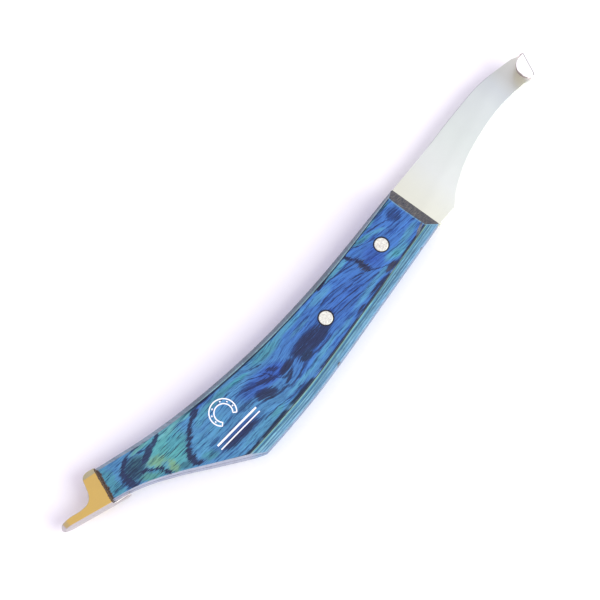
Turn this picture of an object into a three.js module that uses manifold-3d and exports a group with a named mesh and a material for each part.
// A farrier's tool: a hoof pick and a drop-blade hoof knife on one laminated wooden handle.
// Millimetres, +Z up. The tool lies flat, +X runs towards the blade and +Y towards the back of the
// blade. The shapes are drawn about the middle plane of the handle, and the last step puts the
// origin at the bottom centre of the whole tool.
import * as THREE from 'three';
import { mergeVertices } from 'three/addons/utils/BufferGeometryUtils.js';
import Module from 'manifold-3d';

const wasm = await Module();
wasm.setup();

// ---- driving dimensions ---------------------------------------------------------------------

// Clearance left between pieces that touch.
const GAP = 0.3;

// Handle.
const HALF = 7.0;
const BUTT_DROP = 3.0;
const TAPER_FROM = -45;
const TAPER_LENGTH = 45;
const TAPER_POWER = 1.25;
const CROWN = 0.3;
const BELLY_BEVEL = { run: 3.3, drop: 4.2 };
const BACK_BEVEL = { run: 2.3, drop: 4.0, narrowFrom: 12, narrowTo: 48, narrow: 0.65 };
const UNDER_BEVEL = { run: 0.9, drop: 1.1 };
const MOUTH = { point: [50.45, -3.0], normal: [0.991, 0.1325], run: 4.5, from: 2.6 };
const BUTT = { point: [-89.4, 0.0], normal: [-0.971, 0.238], run: 1.1, from: 3.0 };

// Rivets, and the holes they fill with a thin ring of resin round them.
const FRONT_RIVET = new THREE.Vector2(31.6, -7.0);
const REAR_RIVET = new THREE.Vector2(0.4, -11.7);
const RIVET_RADIUS = 2.38;
const HOLE_RADIUS = RIVET_RADIUS + GAP;

// Blade, its curled tip and its tang.
const BLADE_THICKNESS = 2.4;
const TIP_THICKNESS = 1.5;
const RICASSO_LENGTH = 8.1;
const GRIND = { width: 4.0, edge: 0.5, atCurl: 0.25 };
const CURL_START = new THREE.Vector2(112.9, 4.2);
const CURL_HEADING = -20.3;
const CURL_RADIUS = 3.1;
const CURL_RISE = { from: 102, radius: 110 };
const CURL_WIDTH = { back: 5.4, edge: 4.7, bend: 4.8, lip: 4.4 };
const LIP = { length: 2.0, round: 4.4, skew: -1.4 };
const TANG = { back: 9.0, front: 54.5, halfWidth: 5.6 };

// Pick and its stub tang.
const PICK_THICKNESS = 6.0;
const PICK_LOWER_BEVEL = { run: 0.45, drop: 2.2 };
const PICK_BACK_BEVEL = { run: 2.1, drop: 1.6 };
const PICK_STEP = 0.8;
const STUB = { thickness: 3.0, halfWidth: 3.0, length: 24, heading: -15.5, root: [-90.4, 1.2] };
const PIN = { radius: 1.25, halfLength: 2.8, along: [9.0, 19.0] };

// ---- colours --------------------------------------------------------------------------------

const steel = { color: 0xd9dbdd, roughness: 0.32, metalness: 1.0 };
const gold = { color: 0xd6b468, roughness: 0.34, metalness: 1.0 };
const upperWood = { color: 0x2b62a4, roughness: 0.38, metalness: 0.0 };
const lowerWood = { color: 0x2f6d9e, roughness: 0.38, metalness: 0.0 };
const alloy = { color: 0xe6e6e2, roughness: 0.42, metalness: 1.0 };

// ---- solid helpers --------------------------------------------------------------------------

function toSolid(geometry) {
  const bare = geometry.clone();
  bare.deleteAttribute('normal');
  bare.deleteAttribute('uv');
  const merged = mergeVertices(bare, 1e-4);
  return new wasm.Manifold(new wasm.Mesh({
    numProp: 3,
    vertProperties: new Float32Array(merged.attributes.position.array),
    triVerts: new Uint32Array(merged.index.array),
  }));
}

function toGeometry(solid) {
  const mesh = solid.getMesh();
  const geometry = new THREE.BufferGeometry();
  geometry.setAttribute('position', new THREE.BufferAttribute(mesh.vertProperties, 3));
  geometry.setIndex(new THREE.BufferAttribute(mesh.triVerts, 1));
  const flat = geometry.toNonIndexed();
  flat.computeVertexNormals();
  return flat;
}

// A closed solid through a row of rings. Each ring runs counter-clockwise as seen from ahead.
function loft(rings) {
  const count = rings[0].length;
  const positions = rings.flat().flatMap((point) => [point.x, point.y, point.z]);
  const index = [];
  for (let i = 0; i + 1 < rings.length; i += 1) {
    for (let j = 0; j < count; j += 1) {
      const k = (j + 1) % count;
      const a = i * count + j;
      const b = i * count + k;
      index.push(a, b, a + count, b, b + count, a + count);
    }
  }
  const last = (rings.length - 1) * count;
  for (let j = 1; j + 1 < count; j += 1) {
    index.push(0, j + 1, j);
    index.push(last, last + j, last + j + 1);
  }
  const geometry = new THREE.BufferGeometry();
  geometry.setAttribute('position', new THREE.Float32BufferAttribute(positions, 3));
  geometry.setIndex(index);
  return toSolid(geometry);
}

// A flat plate of the given outline, centred on the middle plane.
function plate(shape, thickness, segments = 12) {
  const geometry = new THREE.ExtrudeGeometry(shape, {
    depth: thickness,
    bevelEnabled: false,
    curveSegments: segments,
  });
  geometry.translate(0, 0, -thickness / 2);
  return toSolid(geometry);
}

// A block that fills everything on the outer side of a plane.
function beyond(point, normal) {
  const size = 300;
  const geometry = new THREE.BoxGeometry(size, size, size);
  geometry.translate(0, 0, size / 2);
  const turn = new THREE.Quaternion();
  turn.setFromUnitVectors(new THREE.Vector3(0, 0, 1), normal.clone().normalize());
  geometry.applyQuaternion(turn);
  geometry.translate(point.x, point.y, point.z);
  return toSolid(geometry);
}

// A round bar along Z from one height to another.
function bar(centre, radius, bottom, top, segments = 40) {
  const geometry = new THREE.CylinderGeometry(radius, radius, top - bottom, segments);
  geometry.rotateX(Math.PI / 2);
  geometry.translate(centre.x, centre.y, (top + bottom) / 2);
  return toSolid(geometry);
}

function spline(points) {
  return new THREE.CatmullRomCurve3(
    points.map(([x, y]) => new THREE.Vector3(x, y, 0)),
    false,
    'centripetal',
  );
}

// Reads the height of a curve that runs steadily along X.
function heightAt(curve, steps = 240) {
  const points = curve.getPoints(steps);
  return (x) => {
    let i = 1;
    while (i < steps && points[i].x < x) {
      i += 1;
    }
    const a = points[i - 1];
    const b = points[i];
    return a.y + ((b.y - a.y) * (x - a.x)) / (b.x - a.x);
  };
}

// ---- handle ---------------------------------------------------------------------------------

const backEdge = heightAt(spline([
  [-100, 9.4], [-84, 5.7], [-68, 2.3], [-50, -0.1], [-23, -1.4], [4, -0.3], [30, 2.4], [60, 6.2],
]));

const bellyEdge = heightAt(spline([
  [-100, -30], [-46, -29.2], [-22, -27.3], [-4, -24.7], [20, -20.4], [44, -16.3], [60, -13.3],
]));

const lowerEdge = spline([
  [-110, -1.0], [-90, -5.1], [-80, -8.35], [-69.7, -13.6], [-59.6, -19.8], [-30, -37.8],
]);

function halfThickness(x) {
  const past = Math.max(0, TAPER_FROM - x) / TAPER_LENGTH;
  return HALF - BUTT_DROP * past ** TAPER_POWER;
}

// One section across the handle, above the middle plane for side 1 and below it for side -1.
function handleRing(x, side, crown) {
  const half = halfThickness(x);
  const scale = half / HALF;
  const back = backEdge(x);
  const belly = bellyEdge(x);
  const narrowing = THREE.MathUtils.smoothstep(x, BACK_BEVEL.narrowFrom, BACK_BEVEL.narrowTo);
  const backRun = BACK_BEVEL.run * THREE.MathUtils.lerp(1, BACK_BEVEL.narrow, narrowing);
  const backTop = back - backRun * scale;
  const bellyTop = belly + BELLY_BEVEL.run;
  const points = [[belly, GAP / 2], [back, GAP / 2], [back, half - BACK_BEVEL.drop * scale]];
  for (let i = 0; i <= 6; i += 1) {
    const t = i / 6;
    const y = backTop + (bellyTop - backTop) * t;
    points.push([y, half - crown * (2 * t - 1) ** 2]);
  }
  points.push([belly, half - BELLY_BEVEL.drop * scale]);
  const ring = points.map(([y, z]) => new THREE.Vector3(x, y, z * side));
  return side > 0 ? ring : ring.reverse();
}

// Everything outside the straight lower edge between the butt and the belly corner.
function belowLowerEdge() {
  const shape = new THREE.Shape(lowerEdge.getPoints(60).map((p) => new THREE.Vector2(p.x, p.y)));
  shape.lineTo(-30, -60);
  shape.lineTo(-110, -60);
  return plate(shape, 40);
}

// A bevel along the lower edge, on the underside only.
function underBevel() {
  const slope = UNDER_BEVEL.drop / UNDER_BEVEL.run;
  const rings = lowerEdge.getPoints(40).map((point, i, all) => {
    const next = all[Math.min(i + 1, all.length - 1)];
    const previous = all[Math.max(i - 1, 0)];
    const along = next.clone().sub(previous).normalize();
    const inward = new THREE.Vector3(-along.y, along.x, 0);
    const half = halfThickness(point.x);
    const at = (side, z) => point.clone().addScaledVector(inward, side).setZ(z);
    const low = -half - slope;
    return [
      at(-2, low),
      at(UNDER_BEVEL.run + 1, low),
      at(-2, -half + UNDER_BEVEL.drop + 2 * slope),
    ];
  });
  return loft(rings);
}

function endCuts(end, side, top) {
  const plan = new THREE.Vector3(end.normal[0], end.normal[1], 0);
  const point = new THREE.Vector3(end.point[0], end.point[1], end.from * side);
  const slope = plan.clone().multiplyScalar(top - end.from);
  slope.z = end.run * side;
  return [beyond(point, plan), beyond(point, slope)];
}

function tangShape(grow) {
  const radius = TANG.halfWidth + grow;
  const front = TANG.front + grow;
  const shape = new THREE.Shape();
  shape.moveTo(front, radius + 1);
  shape.lineTo(-TANG.back, radius);
  shape.absarc(-TANG.back, 0, radius, Math.PI / 2, (Math.PI * 3) / 2, false);
  shape.lineTo(front, -radius - 1);
  return shape;
}

function tang(grow) {
  const along = FRONT_RIVET.clone().sub(REAR_RIVET);
  const turn = new THREE.Matrix4().makeRotationZ(Math.atan2(along.y, along.x));
  turn.setPosition(REAR_RIVET.x, REAR_RIVET.y, 0);
  const geometry = new THREE.ExtrudeGeometry(tangShape(grow), {
    depth: BLADE_THICKNESS + 2 * grow,
    bevelEnabled: false,
    curveSegments: 16,
  });
  geometry.translate(0, 0, -BLADE_THICKNESS / 2 - grow);
  geometry.applyMatrix4(turn);
  return toSolid(geometry);
}

const stubTurn = new THREE.Matrix4().makeRotationZ(THREE.MathUtils.degToRad(STUB.heading));
stubTurn.setPosition(STUB.root[0], STUB.root[1], 0);

function stub(grow) {
  const reach = STUB.length + 2 * grow;
  const geometry = new THREE.BoxGeometry(
    reach,
    2 * (STUB.halfWidth + grow),
    STUB.thickness + 2 * grow,
  );
  geometry.translate(reach / 2 - grow, 0, 0);
  geometry.applyMatrix4(stubTurn);
  return toSolid(geometry);
}

const pinCentres = PIN.along.map((x) => new THREE.Vector3(x, 0, 0).applyMatrix4(stubTurn));

function scaleSolid(side, crown) {
  const rings = [];
  for (let x = -96; x <= 58; x += 2.2) {
    rings.push(handleRing(x, side, crown));
  }
  let solid = loft(rings);
  const cuts = [
    belowLowerEdge(),
    ...endCuts(MOUTH, side, HALF),
    ...endCuts(BUTT, side, HALF - BUTT_DROP),
    tang(GAP),
    stub(GAP),
    bar(FRONT_RIVET, HOLE_RADIUS, -20, 20),
    bar(REAR_RIVET, HOLE_RADIUS, -20, 20),
  ];
  const blind = PIN.halfLength + GAP;
  for (const centre of pinCentres) {
    cuts.push(bar(centre, PIN.radius + GAP, -blind, blind, 24));
  }
  if (side < 0) {
    cuts.push(underBevel());
  }
  for (const cut of cuts) {
    solid = solid.subtract(cut);
  }
  return solid;
}

// ---- blade ----------------------------------------------------------------------------------

const bladeBack = spline([
  [49.6, 4.95], [56, 5.65], [65, 6.65], [71, 7.5], [77.4, 8.5], [84, 9.4], [90, 10.1],
  [96.5, 10.8], [101.5, 10.85], [108, 10.25], [114.8, 9.3],
]);

const ricassoStart = new THREE.Vector3(52.35, -15.1, 0);
const bladeEdge = spline([
  [60.2, -14.5], [64.9, -10.85], [73, -6.55], [80, -3.95], [88, -1.9], [95.7, -0.5], [103, 0.0],
  [111.4, -0.3],
]);

function bladeHeight(x) {
  const past = Math.max(0, x - CURL_RISE.from);
  return (past * past) / (2 * CURL_RISE.radius);
}

// One section across the strip. The belly side is ground to an edge from below.
function bladeRing(back, edge, up, thickness, grind) {
  const half = thickness / 2;
  const across = back.clone().sub(edge);
  const inward = across.clone().normalize();
  const land = thickness - (thickness - GRIND.edge) * grind;
  const width = Math.min(GRIND.width, across.length() * 0.35) * grind + 0.1;
  const at = (base, side, height) => base.clone()
    .addScaledVector(inward, side)
    .addScaledVector(up, height);
  return [
    at(edge, width, -half),
    at(back, 0, -half),
    at(back, 0, half),
    at(edge, 0, half),
    at(edge, 0, half - land + 0.1),
  ];
}

function flatRings() {
  const up = new THREE.Vector3(0, 0, 1);
  const rings = [bladeRing(bladeBack.getPointAt(0), ricassoStart, up, BLADE_THICKNESS, 0)];
  const steps = 56;
  const start = RICASSO_LENGTH / bladeBack.getLength();
  for (let i = 0; i <= steps; i += 1) {
    const t = i / steps;
    const back = bladeBack.getPointAt(start + (1 - start) * t);
    const edge = bladeEdge.getPointAt(t);
    back.z = bladeHeight(back.x);
    edge.z = bladeHeight(edge.x);
    const thickness = THREE.MathUtils.lerp(BLADE_THICKNESS, TIP_THICKNESS, t);
    const grind = Math.min(1, t * 8, THREE.MathUtils.lerp(GRIND.atCurl, 1, (1 - t) * 5));
    rings.push(bladeRing(back, edge, up, thickness, grind));
  }
  return rings;
}

// The tip curls up and back over the blade, and its lip ends in a half round.
function curlRings() {
  const heading = THREE.MathUtils.degToRad(CURL_HEADING);
  const ahead = new THREE.Vector3(Math.cos(heading), Math.sin(heading), 0);
  const across = new THREE.Vector3(-Math.sin(heading), Math.cos(heading), 0);
  const up = new THREE.Vector3(0, 0, 1);
  const rise = CURL_START.x - CURL_RISE.from;
  const first = Math.atan(rise / CURL_RISE.radius);
  const start = new THREE.Vector3(CURL_START.x, CURL_START.y, bladeHeight(CURL_START.x));
  const centre = start.clone()
    .addScaledVector(ahead, -CURL_RADIUS * Math.sin(first))
    .addScaledVector(up, CURL_RADIUS * Math.cos(first));
  const arc = CURL_RADIUS * (Math.PI - first);
  const full = arc + LIP.length - LIP.round;
  const quarter = CURL_RADIUS * (Math.PI / 2 - first);
  const stations = [];
  for (let i = 1; i <= 14; i += 1) {
    stations.push((full * i) / 14);
  }
  for (let i = 1; i <= 14; i += 1) {
    stations.push(full + LIP.round * Math.sin((i / 14.25) * (Math.PI / 2)));
  }
  return stations.map((s) => {
    const angle = first + Math.min(s, arc) / CURL_RADIUS;
    const past = Math.max(0, s - arc);
    const point = centre.clone()
      .addScaledVector(ahead, CURL_RADIUS * Math.sin(angle) - past)
      .addScaledVector(up, -CURL_RADIUS * Math.cos(angle));
    const normal = ahead.clone().multiplyScalar(-Math.sin(angle));
    normal.addScaledVector(up, Math.cos(angle));
    const narrow = Math.min(1, s / quarter);
    const further = THREE.MathUtils.smoothstep(s, quarter, full);
    const width = THREE.MathUtils.lerp(CURL_WIDTH.bend, CURL_WIDTH.lip, further);
    const round = Math.sqrt(1 - (Math.max(0, s - full) / LIP.round) ** 2);
    const skew = LIP.skew * THREE.MathUtils.smoothstep(s, quarter, arc);
    const backSide = THREE.MathUtils.lerp(CURL_WIDTH.back, width, narrow) * round + skew;
    const edgeSide = THREE.MathUtils.lerp(CURL_WIDTH.edge, width, narrow) * round - skew;
    const back = point.clone().addScaledVector(across, backSide);
    const edge = point.clone().addScaledVector(across, -edgeSide);
    return bladeRing(back, edge, normal, TIP_THICKNESS, GRIND.atCurl);
  });
}

function bladeSolid() {
  const strip = loft([...flatRings(), ...curlRings()]);
  const mouthSide = new THREE.Vector3(...MOUTH.point, 0);
  const normal = new THREE.Vector3(...MOUTH.normal, 0);
  const inside = tang(0).subtract(beyond(mouthSide.clone().addScaledVector(normal, 1.5), normal));
  return strip
    .add(inside)
    .subtract(bar(FRONT_RIVET, HOLE_RADIUS, -20, 20))
    .subtract(bar(REAR_RIVET, HOLE_RADIUS, -20, 20));
}

// ---- pick -----------------------------------------------------------------------------------

function pickShape() {
  const shape = new THREE.Shape();
  shape.moveTo(-85.0, -7.3);
  shape.lineTo(-85.0, 6.5);
  shape.lineTo(-90.0, 7.8);
  shape.quadraticCurveTo(-92.4, 8.4, -93.35, 6.0);
  shape.lineTo(-94.5, 2.9);
  shape.quadraticCurveTo(-95.7, -0.35, -98.4, -0.35);
  shape.quadraticCurveTo(-100.6, -0.35, -103, 0.4);
  shape.quadraticCurveTo(-105, 0.85, -107.2, 0.8);
  shape.quadraticCurveTo(-108.9, 0.5, -108.85, -0.75);
  shape.quadraticCurveTo(-108.6, -1.4, -107.4, -1.65);
  shape.lineTo(-86.7, -7.2);
  return shape;
}

// The part of the handle's plan that the pick plate stops short of.
function handlePlan() {
  const shape = new THREE.Shape();
  const shoulder = (y) => BUTT.point[0] - GAP - (y * BUTT.normal[1]) / BUTT.normal[0];
  const along = lowerEdge.getPoints(60).filter((p) => p.x > shoulder(p.y) && p.x < -70);
  shape.moveTo(shoulder(-5.15), -5.15);
  for (const point of along) {
    shape.lineTo(point.x, point.y - GAP);
  }
  shape.lineTo(-60, 20);
  shape.lineTo(shoulder(20), 20);
  return plate(shape, 20);
}

// Where the plate runs on below the handle it is stepped down, and the wood shows above it.
function stepDown() {
  const outward = new THREE.Vector3(...BUTT.normal, 0);
  const shoulder = new THREE.Vector3(...BUTT.point, 0).addScaledVector(outward, GAP);
  const above = new THREE.Vector3(0, 0, PICK_STEP);
  return beyond(shoulder, outward.negate()).intersect(beyond(above, new THREE.Vector3(0, 0, 1)));
}

function pickSolid() {
  const half = PICK_THICKNESS / 2;
  const lowerSide = new THREE.Vector3(-5.55, -20.7, 0).normalize();
  const backSide = new THREE.Vector3(1.9, 10.0, 0).normalize();
  const bevel = (point, side, size, face) => {
    const normal = side.clone().multiplyScalar(size.drop);
    normal.z = size.run * face;
    return beyond(point, normal);
  };
  const lowerPoint = new THREE.Vector3(-107.4, -1.65, half - PICK_LOWER_BEVEL.drop);
  const backPoint = new THREE.Vector3(-90.0, 7.8, half - PICK_BACK_BEVEL.drop);
  const backUnder = backPoint.clone().setZ(-backPoint.z);
  let solid = plate(pickShape(), PICK_THICKNESS).subtract(handlePlan());
  const cuts = [
    bevel(lowerPoint, lowerSide, PICK_LOWER_BEVEL, 1),
    bevel(backPoint, backSide, PICK_BACK_BEVEL, 1),
    bevel(backUnder, backSide, PICK_BACK_BEVEL, -1),
    beyond(new THREE.Vector3(-105.4, 0, half), new THREE.Vector3(-0.36, 0, 1)),
    beyond(new THREE.Vector3(-107.5, 0, 2.3), new THREE.Vector3(-1.2, 0, 1)),
    beyond(new THREE.Vector3(-106.2, 0, -half), new THREE.Vector3(-0.8, 0, -1)),
    stepDown(),
  ];
  for (const cut of cuts) {
    solid = solid.subtract(cut);
  }
  solid = solid.add(stub(0));
  for (const centre of pinCentres) {
    solid = solid.subtract(bar(centre, PIN.radius + GAP, -20, 20, 24));
  }
  return solid;
}

// ---- rivets and pins ------------------------------------------------------------------------

// A solid pin with its ends hammered flat and level with the wood.
function rivetSolid(centre) {
  const top = HALF - 0.02;
  const bottom = -HALF + 0.05;
  const profile = [
    [0, bottom], [RIVET_RADIUS - 0.2, bottom], [RIVET_RADIUS, bottom + 0.2],
    [RIVET_RADIUS, top - 0.2], [RIVET_RADIUS - 0.2, top - 0.03], [RIVET_RADIUS * 0.5, top], [0, top],
  ];
  const geometry = new THREE.LatheGeometry(profile.map(([r, z]) => new THREE.Vector2(r, z)), 40);
  geometry.rotateX(Math.PI / 2);
  geometry.translate(centre.x, centre.y, 0);
  return toSolid(geometry);
}

// ---- assembly -------------------------------------------------------------------------------

function node(name, solid, finish) {
  const mesh = new THREE.Mesh(toGeometry(solid), new THREE.MeshStandardMaterial(finish));
  mesh.name = name;
  return mesh;
}

const tool = new THREE.Group();
tool.name = 'hoof_pick_tool';
tool.add(node('blade', bladeSolid(), steel));
tool.add(node('hoof_pick', pickSolid(), gold));
tool.add(node('upper_scale', scaleSolid(1, CROWN), upperWood));
tool.add(node('lower_scale', scaleSolid(-1, 0), lowerWood));
tool.add(node('front_rivet', rivetSolid(FRONT_RIVET), alloy));
tool.add(node('rear_rivet', rivetSolid(REAR_RIVET), alloy));
pinCentres.forEach((centre, i) => {
  const pin = bar(centre, PIN.radius, -PIN.halfLength, PIN.halfLength, 24);
  tool.add(node(i === 0 ? 'pick_pin_rear' : 'pick_pin_front', pin, steel));
});

const box = new THREE.Box3().setFromObject(tool);
const middle = box.getCenter(new THREE.Vector3());
tool.position.set(-middle.x, -middle.y, -box.min.z);

export default tool;
